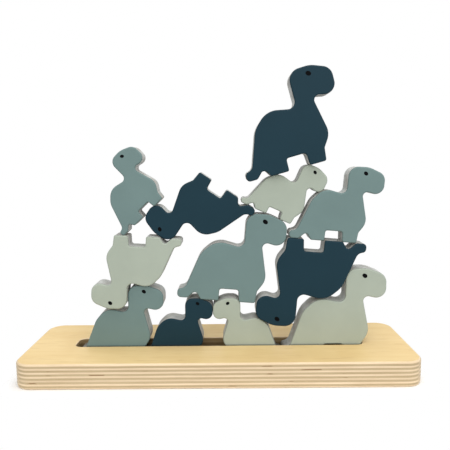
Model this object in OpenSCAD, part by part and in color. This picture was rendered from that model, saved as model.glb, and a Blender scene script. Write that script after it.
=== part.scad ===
// Stacking balance game: a slotted plywood board and twelve flat long-necked dinosaurs in three sizes.
// Four dinosaurs stand with their feet in the slot and the other eight lie on them, as in play.
// X runs along the board, Y from front to back and Z up, with the origin under the middle of the board.

/* [Board] */
// Thickness of the board
board_t = 18; // [14:1:26]
// Number of veneers that the board is glued from, an odd number
plies = 13; // [5:2:15]
// Wood left beyond each end of the slot
end_wood = 33.5; // [22:0.5:60]
// Wood left in front of and behind the slot
side_wood = 33.2; // [18:0.5:50]
// Radius of the board's corners seen from above
corner_r = 12; // [4:1:17]
// Radius that the board's outer edges are sanded to
board_edge_r = 1.8; // [0.5:0.1:3]

/* [Slot] */
// Depth of the slot below the board's top
slot_deep = 9; // [6:0.5:11]
// Play in front of and behind a dinosaur that stands in the slot
slot_play = 1; // [0.5:0.1:2.5]
// Radius of the slot's corners seen from above
slot_corner_r = 5; // [2:0.5:7]
// Radius that the slot's upper edge is sanded to
slot_edge_r = 0.8; // [0.2:0.1:1.5]
// Room between the row of standing dinosaurs and each end of the slot
end_room = 2.5; // [2:0.1:12]

/* [Dinosaurs] */
// Thickness of every dinosaur
thick = 15.5; // [10:0.5:20]
// Radius that the edges of both faces are sanded to
face_edge_r = 1.1; // [0.4:0.1:1.4]
// Gap between neighbours that stand in the slot, where they come closest
row_gap = 0.2; // [0.1:0.1:3]
// Clearance where one dinosaur rests on another
seat_gap = 0.05; // [0.02:0.01:0.3]
// How far the printed eyes stand up from both faces
eye_ink = 0.1; // [0.05:0.05:0.3]

/* [Large dinosaur] */
// Length of the front foot
large_foot = 11.8; // [10:0.5:17]
// Length of the gap between the legs
large_gap = 14.9; // [11:0.1:19]
// Length of the hind foot
large_hind = 13.1; // [10:0.5:17]
// Length of the tail behind the hind foot
large_tail = 17.2; // [14:0.1:22]
// Height of the gap between the legs
large_leg = 9; // [7:0.5:11]
// Height of the back
large_back = 43.3; // [38:0.1:48]
// Height of the crown of the head
large_tall = 65.1; // [62:0.1:74]
// Distance from the front foot back to the back of the neck
large_neck = 11; // [9:0.1:14]
// Distance from the front foot forward to the nose
large_nose = 18.6; // [16:0.1:23]
// Height of the chin
large_jaw = 43.2; // [39:0.1:46]

/* [Medium dinosaur] */
// Length of the front foot
medium_foot = 10.1; // [8:0.1:13]
// Length of the gap between the legs
medium_gap = 12.8; // [10:0.1:16]
// Length of the hind foot
medium_hind = 9.8; // [8:0.1:13]
// Length of the tail behind the hind foot
medium_tail = 15.7; // [13:0.1:20]
// Height of the gap between the legs
medium_leg = 7.6; // [6:0.5:9]
// Height of the back
medium_back = 36.8; // [33:0.1:40]
// Height of the crown of the head
medium_tall = 54; // [51:0.1:60]
// Distance from the front foot back to the back of the neck
medium_neck = 10.5; // [8:0.1:13]
// Distance from the front foot forward to the nose
medium_nose = 15.5; // [14:0.1:19]
// Height of the chin
medium_jaw = 35.6; // [32:0.1:38]

/* [Small dinosaur] */
// Length of the front foot
small_foot = 8.5; // [7:0.1:10]
// Length of the gap between the legs
small_gap = 10.6; // [8:0.1:13]
// Length of the hind foot
small_hind = 8.7; // [7:0.1:10]
// Length of the tail behind the hind foot
small_tail = 11.6; // [10:0.1:14]
// Height of the gap between the legs
small_leg = 5.4; // [4.5:0.1:7]
// Height of the back
small_back = 29.6; // [26:0.1:33]
// Height of the crown of the head
small_tall = 44.1; // [42:0.1:50]
// Distance from the front foot back to the back of the neck
small_neck = 8.7; // [7:0.1:11]
// Distance from the front foot forward to the nose
small_nose = 11.5; // [10:0.1:14]
// Height of the chin
small_jaw = 28.2; // [26:0.1:31]

/* [Places along the board] */
// Middle of the sage medium dinosaur that lies on the first in the row
sage_medium_x = -61.8; // [-62:0.1:-60.2]
// Middle of the dark large dinosaur that lies on the last two in the row
dark_large_x = 64; // [63.9:0.1:66]
// Middle of the blue large dinosaur that stands on the row's small heads
blue_large_x = 13.1; // [10:0.1:13.3]
// Middle of the dark medium dinosaur that bridges the sage and blue ones
dark_medium_x = -14.3; // [-14.6:0.1:-11]
// Middle of the small blue dinosaur that sits on its tail
blue_small_x = -60.3; // [-63:0.1:-60.1]
// Middle of the blue medium dinosaur that stands on the dark large one's feet
blue_medium_x = 87.9; // [87.6:0.1:91]
// Middle of the small sage dinosaur that lies on the blue large one's head
sage_small_x = 50; // [48.8:0.1:52]
// Middle of the dark large dinosaur on top
top_x = 53.5; // [51:0.1:56]

/* [Places from front to back] */
// How far behind the middle of the slot the sage medium dinosaur lies, less than 0 in front of it
sage_medium_y = -3; // [-5:0.5:5]
// The same for the dark large dinosaur that lies on its back
dark_large_y = -2; // [-5:0.5:5]
// The same for the blue large dinosaur
blue_large_y = -1; // [-5:0.5:5]
// The same for the dark medium dinosaur
dark_medium_y = -1; // [-5:0.5:5]
// The same for the small blue dinosaur
blue_small_y = -2; // [-5:0.5:5]
// The same for the blue medium dinosaur
blue_medium_y = -2; // [-5:0.5:5]
// The same for the small sage dinosaur
sage_small_y = 0; // [-5:0.5:5]
// The same for the dark large dinosaur on top
top_y = -6; // [-7:0.5:7]

/* [Tilts before the dinosaurs settle] */
// How far a dinosaur may turn from its tilt below until it rests on both sides of its weight
settle_reach = 8; // [5:1:12]
// Tilt of the sage medium dinosaur, which lies on its back
sage_medium_tilt = 180; // [174:1:184]
// Tilt of the dark large dinosaur, which lies on its back
dark_large_tilt = 176; // [170:1:182]
// Tilt of the blue large dinosaur
blue_large_tilt = -2; // [-8:1:2]
// Tilt of the dark medium dinosaur
dark_medium_tilt = 146; // [140:1:153]
// Tilt of the small blue dinosaur
blue_small_tilt = 44; // [38:1:49]
// Tilt of the blue medium dinosaur
blue_medium_tilt = -4; // [-10:1:2]
// Tilt of the small sage dinosaur
sage_small_tilt = -24; // [-31:1:-19]
// Tilt of the dark large dinosaur on top
top_tilt = 15; // [9:1:21]

/* [Hidden] */
$fn = 48;

dark_paint = [0.17, 0.26, 0.31];
blue_paint = [0.47, 0.56, 0.57];
sage_paint = [0.69, 0.72, 0.65];
eye_paint = [0.06, 0.06, 0.07];
pale_ply = [0.91, 0.81, 0.62];
dark_ply = [0.78, 0.68, 0.5];

// Greatest distance between a curve and the straight pieces that stand for it
smooth = 0.09;
// Steps that round a sanded face edge
edge_steps = 2;
// Steps that halve the range of tilts while a dinosaur settles
settle_steps = 12;
// How far a cutter reaches past the wood that it cuts
past = 1;
// How far each veneer reaches into the one above it, so that the board is one solid
glue = 0.02;
// Lift of a dinosaur that has nothing below it
no_touch = -1000;
// How deep an eye is set below a face
eye_root = 0.5;
// Sides of the oval that an eye is drawn with, and its width for each unit of its length
eye_sides = 20;
eye_width = 0.72;
// How far an eye slants down towards the nose
eye_slant = -35;
// Least round corner beyond the face edge's radius, so that the edge still fits round it
spare_r = 0.2;

// Corners of a dinosaur that faces right, as [x, z, radius], clockwise from the tip of the tail.
// The origin is under the toe of the front foot.
function dinosaur(foot, gap, hind, tail, leg, back, tall, neck, nose, jaw) =
    let (
        heel = -foot - gap - hind,
        tip = heel - tail,
        head = tall - jaw,
        skull = neck + nose
    )
    [
        // Tail's tip, and its top to the rump
        [tip, 0.05 * leg, 0.31 * leg],
        [tip, 0.74 * leg, 0.32 * leg],
        [tip + 0.32 * tail, 0.88 * leg, 0.8 * leg],
        // Rump, back, and the hollow where the neck begins
        [heel - 0.19 * hind, 0.78 * back, 0.42 * back],
        [heel + 0.65 * hind, 1.02 * back, 0.33 * back],
        [-neck, 0.92 * back, 0.11 * back],
        // Back of the head, crown, forehead, nose and throat
        [-neck, tall + 0.01 * head, 0.5 * head],
        [0.54 * skull - neck, tall + 0.03 * head, 0.8 * head],
        [nose, tall - 0.22 * head, 0.36 * head],
        [nose, jaw - 0.06 * head, 0.34 * head],
        [0.41 * skull - neck, jaw + 0.12 * head, 0.16 * head],
        // Chest and front foot
        [0.58 * foot, 0.41 * back, 0.28 * back],
        [0.08 * foot, leg, 0.35 * leg],
        [0, 0, 0.18 * leg],
        [-foot, 0, 0.14 * leg],
        // Gap between the legs, and hind foot
        [-foot - 0.05 * gap, leg, 0.24 * leg],
        [-foot - 0.985 * gap, leg, 0.2 * leg],
        [-foot - gap, 0, 0.14 * leg],
        [heel, 0, 0.2 * leg],
        // Notch behind the hind foot, and the tail's rest
        [heel - 0.23 * tail, 0.7 * leg, 0.27 * leg],
        [heel - 0.56 * tail, 0.05 * leg, 0.35 * leg]
    ];

// Middle of a dinosaur's eye, and its length
function eye_spot(tall, neck, nose, jaw) =
    [0.46 * (neck + nose) - neck, tall - 0.22 * (tall - jaw), 0.17 * (tall - jaw)];

large_eye = eye_spot(large_tall, large_neck, large_nose, large_jaw);
medium_eye = eye_spot(medium_tall, medium_neck, medium_nose, medium_jaw);
small_eye = eye_spot(small_tall, small_neck, small_nose, small_jaw);

large = dinosaur(large_foot, large_gap, large_hind, large_tail, large_leg,
    large_back, large_tall, large_neck, large_nose, large_jaw);
medium = dinosaur(medium_foot, medium_gap, medium_hind, medium_tail, medium_leg,
    medium_back, medium_tall, medium_neck, medium_nose, medium_jaw);
small = dinosaur(small_foot, small_gap, small_hind, small_tail, small_leg,
    small_back, small_tall, small_neck, small_nose, small_jaw);

// Rounds one corner between its neighbours a and b with an arc that the two sides have room for.
// Inset moves the arc's points into the shape, to draw the smaller rings of a rounded edge.
function corner_arc(a, corner, b, inset) =
    let (
        p = [corner.x, corner.y],
        to_a = [a.x, a.y] - p,
        to_b = [b.x, b.y] - p,
        u = to_a / norm(to_a),
        w = to_b / norm(to_b),
        half = acos(u * w) / 2,
        out = cross(u, w) > 0 ? 1 : -1,
        wanted = out > 0 ? max(corner[2], face_edge_r + spare_r) : corner[2],
        reach = min(wanted / tan(half), norm(to_a) / 2, norm(to_b) / 2),
        r = reach * tan(half),
        middle = p + (u + w) / norm(u + w) * r / sin(half),
        from = p + u * reach - middle,
        first = atan2(from.y, from.x),
        sweep = -out * (180 - 2 * half),
        steps = max(1, ceil(abs(sweep) / (2 * acos(max(0.5, 1 - smooth / r)))))
    )
    [for (i = [0:steps]) middle + (r - out * inset)
        * [cos(first + sweep * i / steps), sin(first + sweep * i / steps)]];

// The whole outline with its corners rounded, clockwise
function rounded(corners, inset = 0) =
    let (n = len(corners))
    [for (i = [0:n - 1])
        each corner_arc(corners[(i + n - 1) % n], corners[i], corners[(i + 1) % n], inset)];

// Twice the area of a clockwise outline, taken as negative parts round the origin
function wedges(outline) =
    [for (i = [0:len(outline) - 1]) cross(outline[i], outline[(i + 1) % len(outline)])];

function sum(list, i = 0) = i == len(list) - 1 ? list[i] : list[i] + sum(list, i + 1);

// Centre of gravity of an outline
function balance(outline) =
    let (n = len(outline), area = wedges(outline))
    sum([for (i = [0:n - 1]) (outline[i] + outline[(i + 1) % n]) * area[i]]) / (3 * sum(area));

// Moves an outline so that its centre of gravity is at the origin
function centred(outline) =
    let (g = balance(outline))
    [for (p = outline) p - g];

// A pose is [x, z, tilt, side]: the place of the centre of gravity, the turn in degrees, and 1 for a
// dinosaur that faces right or -1 for one that is turned round to face left
function turned(p, pose) =
    [pose.x + pose[3] * p.x * cos(pose[2]) - p.y * sin(pose[2]),
     pose.y + pose[3] * p.x * sin(pose[2]) + p.y * cos(pose[2])];

function posed(outline, pose) =
    let (n = len(outline))
    [for (i = [0:n - 1]) turned(outline[pose[3] > 0 ? i : n - 1 - i], pose)];

// Sides of a clockwise outline that face up or down, each written from left to right
function upper_sides(outline) =
    let (n = len(outline))
    [for (i = [0:n - 1])
        let (a = outline[i], b = outline[(i + 1) % n])
        if (b.x > a.x) [a, b]];

function lower_sides(outline) =
    let (n = len(outline))
    [for (i = [0:n - 1])
        let (a = outline[i], b = outline[(i + 1) % n])
        if (b.x < a.x) [b, a]];

function height_at(side, x) =
    side[0].y + (side[1].y - side[0].y) * (x - side[0].x) / (side[1].x - side[0].x);

// How far each end of some sides lies above or below the sides of the other shape, and where
function overlaps(ends, sides, sign) =
    [for (e = ends, p = e, s = sides)
        if (s[0].x <= p.x && p.x <= s[1].x) [sign * (height_at(s, p.x) - p.y), p.x]];

function highest(list) =
    let (top = max([for (c = list) c[0]]))
    [for (c = list) if (c[0] == top) c][0];

// Lift that takes an outline clear of all the poses below it, and the x of the first touch
function first_touch(outline, below) =
    let (under = lower_sides(outline))
    highest(concat([[no_touch, 0]],
        [for (lower = below)
            let (over = upper_sides(lower))
            each concat(overlaps(under, over, 1), overlaps(over, under, -1))]));

// Lets an outline down onto what is below it, and halves the range of its tilts until it touches on
// both sides of its weight
function settled(outline, below, x, low, high, steps) =
    let (
        tilt = (low + high) / 2,
        touch = first_touch(posed(outline, [x, 0, tilt, 1]), below)
    )
    steps == 0 ? [x, touch[0] + seat_gap, tilt, 1]
        : touch[1] < x ? settled(outline, below, x, low, tilt, steps - 1)
        : settled(outline, below, x, tilt, high, steps - 1);

function rested(outline, below, x, tilt) =
    settled(outline, below, x, tilt - settle_reach, tilt + settle_reach, settle_steps);

// Outlines round their own centres of gravity
large_shape = centred(rounded(large));
medium_shape = centred(rounded(medium));
small_shape = centred(rounded(small));
large_middle = balance(rounded(large));
medium_middle = balance(rounded(medium));
small_middle = balance(rounded(small));

// An outline with its two directions swapped, still clockwise
function sideways(outline) =
    let (n = len(outline))
    [for (i = [0:n - 1]) [outline[n - 1 - i].y, outline[n - 1 - i].x]];

// How far right of its left neighbour's toe a dinosaur's own toe is, with row_gap between the two
function step_right(outline, left) = first_touch(sideways(outline), [sideways(left)])[0] + row_gap;

// The row in the slot, from the left: medium, small, small facing left, large
small_left = posed(rounded(small), [0, 0, 0, -1]);
step_2 = step_right(rounded(small), rounded(medium));
step_3 = step_right(small_left, rounded(small));
step_4 = step_right(rounded(large), small_left);
tail_reach = -min([for (c = medium) c.x]);
row_l = tail_reach + step_2 + step_3 + step_4;
slot_l = row_l + 2 * end_room;
slot_w = thick + 2 * slot_play;
board_l = slot_l + 2 * end_wood;
board_d = slot_w + 2 * side_wood;
floor_z = board_t - slot_deep;

toe_1 = tail_reach - row_l / 2;
toe_2 = toe_1 + step_2;
toe_3 = toe_2 + step_3;
toe_4 = toe_3 + step_4;

pose_1 = [toe_1 + medium_middle.x, floor_z + medium_middle.y, 0, 1];
pose_2 = [toe_2 + small_middle.x, floor_z + small_middle.y, 0, 1];
pose_3 = [toe_3 - small_middle.x, floor_z + small_middle.y, 0, -1];
pose_4 = [toe_4 + large_middle.x, floor_z + large_middle.y, 0, 1];

standing_1 = posed(medium_shape, pose_1);
standing_2 = posed(small_shape, pose_2);
standing_3 = posed(small_shape, pose_3);
standing_4 = posed(large_shape, pose_4);

pose_5 = rested(medium_shape, [standing_1], sage_medium_x, sage_medium_tilt);
lying_5 = posed(medium_shape, pose_5);
pose_6 = rested(large_shape, [standing_3, standing_4], dark_large_x, dark_large_tilt);
lying_6 = posed(large_shape, pose_6);
pose_7 = rested(large_shape, [standing_2, standing_3, lying_6], blue_large_x, blue_large_tilt);
lying_7 = posed(large_shape, pose_7);
pose_8 = rested(medium_shape, [lying_5, lying_7], dark_medium_x, dark_medium_tilt);
lying_8 = posed(medium_shape, pose_8);
pose_9 = rested(small_shape, [lying_5, lying_8], blue_small_x, blue_small_tilt);
lying_9 = posed(small_shape, pose_9);
pose_10 = rested(medium_shape, [lying_6, lying_7], blue_medium_x, blue_medium_tilt);
lying_10 = posed(medium_shape, pose_10);
pose_11 = rested(small_shape, [lying_7, lying_8, lying_10], sage_small_x, sage_small_tilt);
lying_11 = posed(small_shape, pose_11);
pose_12 = rested(large_shape, [lying_11, lying_10], top_x, top_tilt);
lying_12 = posed(large_shape, pose_12);

// Half widths of the rings that round a face edge, from the middle of the thickness outwards
function edge_rings() =
    [for (i = [0:edge_steps])
        let (a = 90 * i / edge_steps)
        [thick / 2 - face_edge_r * (1 - sin(a)), face_edge_r * (1 - cos(a))]];

// Whether p lies inside the clockwise triangle a b c
function inside(p, a, b, c) =
    cross(b - a, p - a) < 0 && cross(c - b, p - b) < 0 && cross(a - c, p - c) < 0;

// Whether corner k of the outline left in ids can be cut off with no other corner inside the cut
function is_ear(points, ids, k) =
    let (
        n = len(ids),
        before = ids[(k + n - 1) % n],
        here = ids[k],
        after = ids[(k + 1) % n],
        a = points[before],
        b = points[here],
        c = points[after]
    )
    cross(b - a, c - b) < 0
        && len([for (i = ids) if (i != before && i != here && i != after && inside(points[i], a, b, c)) i]) == 0;

function next_ear(points, ids, k) = is_ear(points, ids, k) ? k : next_ear(points, ids, k + 1);

// Cuts a clockwise outline into triangles, one corner after another
function triangles(points, ids) =
    let (n = len(ids))
    n == 3 ? [ids]
        : let (k = next_ear(points, ids, 0))
        concat([[ids[(k + n - 1) % n], ids[k], ids[(k + 1) % n]]],
            triangles(points, [for (i = [0:n - 1]) if (i != k) ids[i]]));

// One flat dinosaur with both faces' edges rounded, round its own centre of gravity, standing in XZ
module dinosaur_body(corners, middle) {
    half = edge_rings();
    rings = concat([for (i = [edge_steps:-1:0]) [-half[i][0], half[i][1]]], half);
    outlines = [for (ring = rings) rounded(corners, ring[1])];
    n = len(outlines[0]);
    points = [for (k = [0:len(rings) - 1], p = outlines[k]) [p.x - middle.x, rings[k][0], p.y - middle.y]];
    last = (len(rings) - 1) * n;
    walls = [for (k = [0:len(rings) - 2], i = [0:n - 1])
        [k * n + i, (k + 1) * n + i, (k + 1) * n + (i + 1) % n, k * n + (i + 1) % n]];
    face = triangles(outlines[0], [for (i = [0:n - 1]) i]);
    faces = concat(face, walls, [for (f = face) [f[2] + last, f[1] + last, f[0] + last]]);
    polyhedron(points, faces);
}

// The oval eyes on both faces, round the same origin as the body
module eyes(eye, middle) {
    oval = [for (i = [0:eye_sides - 1])
        let (a = 360 * i / eye_sides)
        eye[2] / 2 * [cos(a), eye_width * sin(a)]];
    for (front = [0, 1])
        mirror([0, front, 0])
            translate([eye.x - middle.x, thick / 2 + eye_ink, eye.y - middle.y])
                rotate([90, -eye_slant, 0])
                    linear_extrude(eye_root + eye_ink)
                        polygon(oval);
}

// A painted dinosaur in its place in the stack, at y from the middle of the slot
module placed(corners, middle, eye, paint, pose, y) {
    translate([pose.x, y, pose.y])
        rotate([0, -pose[2], 0])
            mirror([pose[3] > 0 ? 0 : 1, 0, 0]) {
                color(paint) dinosaur_body(corners, middle);
                color(eye_paint) eyes(eye, middle);
            }
}

module large_dinosaur(paint, pose, y = 0) { placed(large, large_middle, large_eye, paint, pose, y); }
module medium_dinosaur(paint, pose, y = 0) { placed(medium, medium_middle, medium_eye, paint, pose, y); }
module small_dinosaur(paint, pose, y = 0) { placed(small, small_middle, small_eye, paint, pose, y); }

// A rectangle with round corners, seen from above
module plan(l, d, r) {
    square([l, d - 2 * r], center = true);
    square([l - 2 * r, d], center = true);
    for (x = [-1, 1], y = [-1, 1])
        translate([x * (l / 2 - r), y * (d / 2 - r)])
            circle(r);
}

// What a round-over of radius r takes off an edge: the wall is at x = 0, and the wood is above it on
// the side of negative x, or on the other side where the edge is a hole's
module round_over(r, hole) {
    mirror([hole ? 1 : 0, 0])
        difference() {
            translate([-r, -past])
                square([r + past, r + past]);
            translate([-r, r])
                circle(r);
        }
}

// Carries a round-over along the outline of a plan with round corners, cutting the edge at z = 0
module edge_run(l, d, corner, r, hole = false) {
    for (side = [0, 1], end = [0, 1])
        mirror([0, side, 0])
            mirror([end, 0, 0]) {
                translate([l / 2 - corner, d / 2 - corner, 0])
                    rotate_extrude(angle = 90)
                        translate([corner, 0])
                            round_over(r, hole);
                translate([l / 2 - corner, d / 2, 0])
                    rotate([90, 0, -90])
                        linear_extrude(l / 2 - corner)
                            mirror([1, 0])
                                round_over(r, hole);
                translate([l / 2, 0, 0])
                    rotate([90, 0, 180])
                        linear_extrude(d / 2 - corner)
                            mirror([1, 0])
                                round_over(r, hole);
            }
}

module veneers() {
    ply_t = board_t / plies;
    for (i = [0:plies - 1])
        color(i % 2 == 0 ? pale_ply : dark_ply)
            translate([0, 0, i * ply_t])
                linear_extrude(i < plies - 1 ? ply_t + glue : ply_t)
                    plan(board_l, board_d, corner_r);
}

module board() {
    difference() {
        union() veneers();
        translate([0, 0, floor_z])
            linear_extrude(slot_deep + past)
                plan(slot_l, slot_w, slot_corner_r);
        edge_run(board_l, board_d, corner_r, board_edge_r);
        translate([0, 0, board_t])
            mirror([0, 0, 1]) {
                edge_run(board_l, board_d, corner_r, board_edge_r);
                edge_run(slot_l, slot_w, slot_corner_r, slot_edge_r, hole = true);
            }
    }
}

module blue_medium_in_slot() { medium_dinosaur(blue_paint, pose_1); }
module dark_small_in_slot() { small_dinosaur(dark_paint, pose_2); }
module sage_small_in_slot() { small_dinosaur(sage_paint, pose_3); }
module sage_large_in_slot() { large_dinosaur(sage_paint, pose_4); }
module sage_medium_head_down() { medium_dinosaur(sage_paint, pose_5, sage_medium_y); }
module dark_large_head_down() { large_dinosaur(dark_paint, pose_6, dark_large_y); }
module blue_large_upright() { large_dinosaur(blue_paint, pose_7, blue_large_y); }
module dark_medium_head_down() { medium_dinosaur(dark_paint, pose_8, dark_medium_y); }
module blue_small_tail_down() { small_dinosaur(blue_paint, pose_9, blue_small_y); }
module blue_medium_upright() { medium_dinosaur(blue_paint, pose_10, blue_medium_y); }
module sage_small_on_head() { small_dinosaur(sage_paint, pose_11, sage_small_y); }
module dark_large_on_top() { large_dinosaur(dark_paint, pose_12, top_y); }

board();
blue_medium_in_slot();
dark_small_in_slot();
sage_small_in_slot();
sage_large_in_slot();
sage_medium_head_down();
dark_large_head_down();
blue_large_upright();
dark_medium_head_down();
blue_small_tail_down();
blue_medium_upright();
sage_small_on_head();
dark_large_on_top();
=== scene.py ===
"""Looks of a stacking balance game: twelve painted long-neck dinosaurs on a slotted birch board."""

import logging
import math
from dataclasses import dataclass
from enum import Enum
from typing import Optional, Union

import bpy
import numpy as np
from mathutils import Matrix, Vector


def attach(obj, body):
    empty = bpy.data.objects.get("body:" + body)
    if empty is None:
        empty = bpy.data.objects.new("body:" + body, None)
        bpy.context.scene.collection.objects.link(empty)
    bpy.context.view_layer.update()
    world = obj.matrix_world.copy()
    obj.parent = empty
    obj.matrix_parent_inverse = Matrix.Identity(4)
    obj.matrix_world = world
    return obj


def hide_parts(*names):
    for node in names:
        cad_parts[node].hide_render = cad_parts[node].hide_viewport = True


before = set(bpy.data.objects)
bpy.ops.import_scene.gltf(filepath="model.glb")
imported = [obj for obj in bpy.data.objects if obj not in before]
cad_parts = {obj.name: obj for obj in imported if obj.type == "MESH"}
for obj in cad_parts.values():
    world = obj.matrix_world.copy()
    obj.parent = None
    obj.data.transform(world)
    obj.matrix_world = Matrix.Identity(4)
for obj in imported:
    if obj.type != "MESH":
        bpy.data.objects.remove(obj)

LOG = logging.getLogger("balance_game")
MM = 0.001
OWN_PLACE = "own_place"
COLUMN_WIDTH = 180
FIRST_COLUMN = -1600

Pair = tuple[float, float]
Triple = tuple[float, float, float]
Colour = Triple
Socket = bpy.types.NodeSocket
Feed = Union[float, Colour, Socket]


def srgb(red: int, green: int, blue: int) -> Colour:
    """Turns a colour of 0 to 255 a channel into the linear values that shaders take.

    Args:
        red: Red channel.
        green: Green channel.
        blue: Blue channel.

    Returns:
        The linear colour.
    """
    return tuple(
        c / 255 / 12.92 if c / 255 <= 0.04045 else ((c / 255 + 0.055) / 1.055) ** 2.4
        for c in (red, green, blue)
    )


def grey(level: float) -> Colour:
    """Makes a grey of one linear level."""
    return (level, level, level)


def scaled(colour: Colour, by: float) -> Colour:
    """Makes a colour darker or lighter, up to full light."""
    return tuple(min(1.0, channel * by) for channel in colour)


def blended(first: Colour, second: Colour, share: float) -> Colour:
    """Mixes a share of a second colour into the first."""
    return tuple((1 - share) * a + share * b for a, b in zip(first, second))


def put_in_scene(name: str, data: bpy.types.ID) -> bpy.types.Object:
    """Makes an object and links it into the scene.

    Args:
        name: The object's name.
        data: Its mesh, lamp or camera.

    Returns:
        The new object.
    """
    made = bpy.data.objects.new(name, data)
    bpy.context.scene.collection.objects.link(made)
    return made


def triangles_of(mesh: bpy.types.Mesh) -> np.ndarray:
    """Cuts a mesh's faces into triangles and lists their vertices."""
    mesh.calc_loop_triangles()
    return np.array([triangle.vertices[:] for triangle in mesh.loop_triangles])


class Paint(Enum):
    """The three face paints."""

    DARK = "dark_paint"
    BLUE = "blue_paint"
    SAGE = "sage_paint"


class Facing(Enum):
    """Which way a dinosaur looks along the board."""

    RIGHT = 1
    LEFT = -1


class NodeWriter:
    """Adds nodes to one node tree, and links or sets whatever each socket is fed with."""

    def __init__(self, tree: bpy.types.NodeTree) -> None:
        """Keeps the tree of a material, a world or a node group."""
        self.tree = tree
        self.column = 0

    def add(self, kind: str, **settings: object) -> bpy.types.Node:
        """Adds one node and moves on by a column.

        Args:
            kind: Blender's name of the node type.
            **settings: Attributes to set on it.

        Returns:
            The new node.
        """
        node = self.tree.nodes.new(kind)
        node.location = (self.column * COLUMN_WIDTH + FIRST_COLUMN, 0)
        self.column += 1
        for name, value in settings.items():
            setattr(node, name, value)
        return node

    def feed(self, socket: Socket, value: Feed) -> None:
        """Links a socket into another, or sets its value.

        Args:
            socket: The input socket.
            value: An output socket, a number or a colour.
        """
        if isinstance(value, bpy.types.NodeSocket):
            self.tree.links.new(value, socket)
        elif isinstance(value, tuple) and socket.type == "RGBA":
            socket.default_value = (*value, 1.0)
        else:
            socket.default_value = value

    def math(self, operation: str, a: Feed, b: Feed = 0.0) -> Socket:
        """Combines two values.

        Args:
            operation: Blender's name of the operation.
            a: First value.
            b: Second value.

        Returns:
            The result's socket.
        """
        node = self.add("ShaderNodeMath", operation=operation)
        self.feed(node.inputs[0], a)
        self.feed(node.inputs[1], b)
        return node.outputs[0]

    def plus(self, a: Feed, b: Feed) -> Socket:
        """Adds two values."""
        return self.math("ADD", a, b)

    def minus(self, a: Feed, b: Feed) -> Socket:
        """Takes the second value from the first."""
        return self.math("SUBTRACT", a, b)

    def times(self, a: Feed, b: Feed) -> Socket:
        """Multiplies two values."""
        return self.math("MULTIPLY", a, b)

    def inverse(self, value: Feed) -> Socket:
        """Takes a value from 1."""
        return self.minus(1.0, value)

    def unsigned(self, value: Feed) -> Socket:
        """Drops a value's sign."""
        return self.math("ABSOLUTE", value)

    def rise(self, value: Feed, low: Feed, high: Feed, smooth: bool = True) -> Socket:
        """Maps a value to 0 below low and 1 above high.

        Args:
            value: The value to map.
            low: Where the result begins to rise.
            high: Where the result reaches 1.
            smooth: Whether the rise eases in and out.

        Returns:
            The result's socket.
        """
        easing = "SMOOTHSTEP" if smooth else "LINEAR"
        node = self.add("ShaderNodeMapRange", interpolation_type=easing, clamp=True)
        self.feed(node.inputs["Value"], value)
        self.feed(node.inputs["From Min"], low)
        self.feed(node.inputs["From Max"], high)
        return node.outputs["Result"]

    def fall(self, value: Feed, low: Feed, high: Feed) -> Socket:
        """Maps a value to 1 below low and 0 above high, easing in and out."""
        return self.inverse(self.rise(value, low, high))

    def mix(self, share: Feed, a: Feed, b: Feed, blend: str = "MIX") -> Socket:
        """Mixes two colours.

        Args:
            share: How much of the second colour shows.
            a: First colour.
            b: Second colour.
            blend: Blender's name of the way to mix.

        Returns:
            The mixed colour's socket.
        """
        node = self.add("ShaderNodeMix", data_type="RGBA", blend_type=blend)
        self.feed(node.inputs["Factor"], share)
        self.feed(node.inputs["A"], a)
        self.feed(node.inputs["B"], b)
        return node.outputs["Result"]

    def over(self, under: Feed, colour: Colour, mask: Socket, share: float) -> Socket:
        """Lays a share of a colour over another where a mask is 1."""
        return self.mix(self.times(mask, share), under, colour)

    def place(self) -> Socket:
        """Reads the position on the object, in metres."""
        return self.add("ShaderNodeTexCoord").outputs["Object"]

    def stretched(self, vector: Socket, by: Triple) -> Socket:
        """Scales a position along X, Y and Z.

        Args:
            vector: The position.
            by: Its scale along each axis.

        Returns:
            The scaled position's socket.
        """
        node = self.add("ShaderNodeVectorMath", operation="MULTIPLY")
        self.feed(node.inputs[0], vector)
        self.feed(node.inputs[1], by)
        return node.outputs[0]

    def noise(
        self,
        vector: Socket,
        scale: Feed,
        detail: float = 2.0,
        rough: float = 0.5,
        stretch: Optional[Triple] = None,
    ) -> Socket:
        """Adds a noise of values from 0 to 1.

        Args:
            vector: The position it is read at.
            scale: Its scale.
            detail: Its finer layers.
            rough: The strength of the finer layers.
            stretch: Scale of the position along each axis.

        Returns:
            The value's socket.
        """
        node = self.add("ShaderNodeTexNoise")
        self.feed(node.inputs["Vector"], self.stretched(vector, stretch) if stretch else vector)
        self.feed(node.inputs["Scale"], scale)
        self.feed(node.inputs["Detail"], detail)
        self.feed(node.inputs["Roughness"], rough)
        return node.outputs["Fac"]

    def axes(self, vector: Socket) -> tuple[Socket, Socket, Socket]:
        """Splits a vector.

        Args:
            vector: The vector.

        Returns:
            Its X, Y and Z sockets.
        """
        node = self.add("ShaderNodeSeparateXYZ")
        self.feed(node.inputs[0], vector)
        return node.outputs[0], node.outputs[1], node.outputs[2]

    def group(self, tree: bpy.types.NodeTree, **inputs: Feed) -> bpy.types.Node:
        """Places a node group.

        Args:
            tree: The group.
            **inputs: A value for each input, named with spaces as underscores.

        Returns:
            The group's node.
        """
        node = self.add("ShaderNodeGroup", node_tree=tree)
        for name, value in inputs.items():
            self.feed(node.inputs[name.replace("_", " ")], value)
        return node

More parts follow.
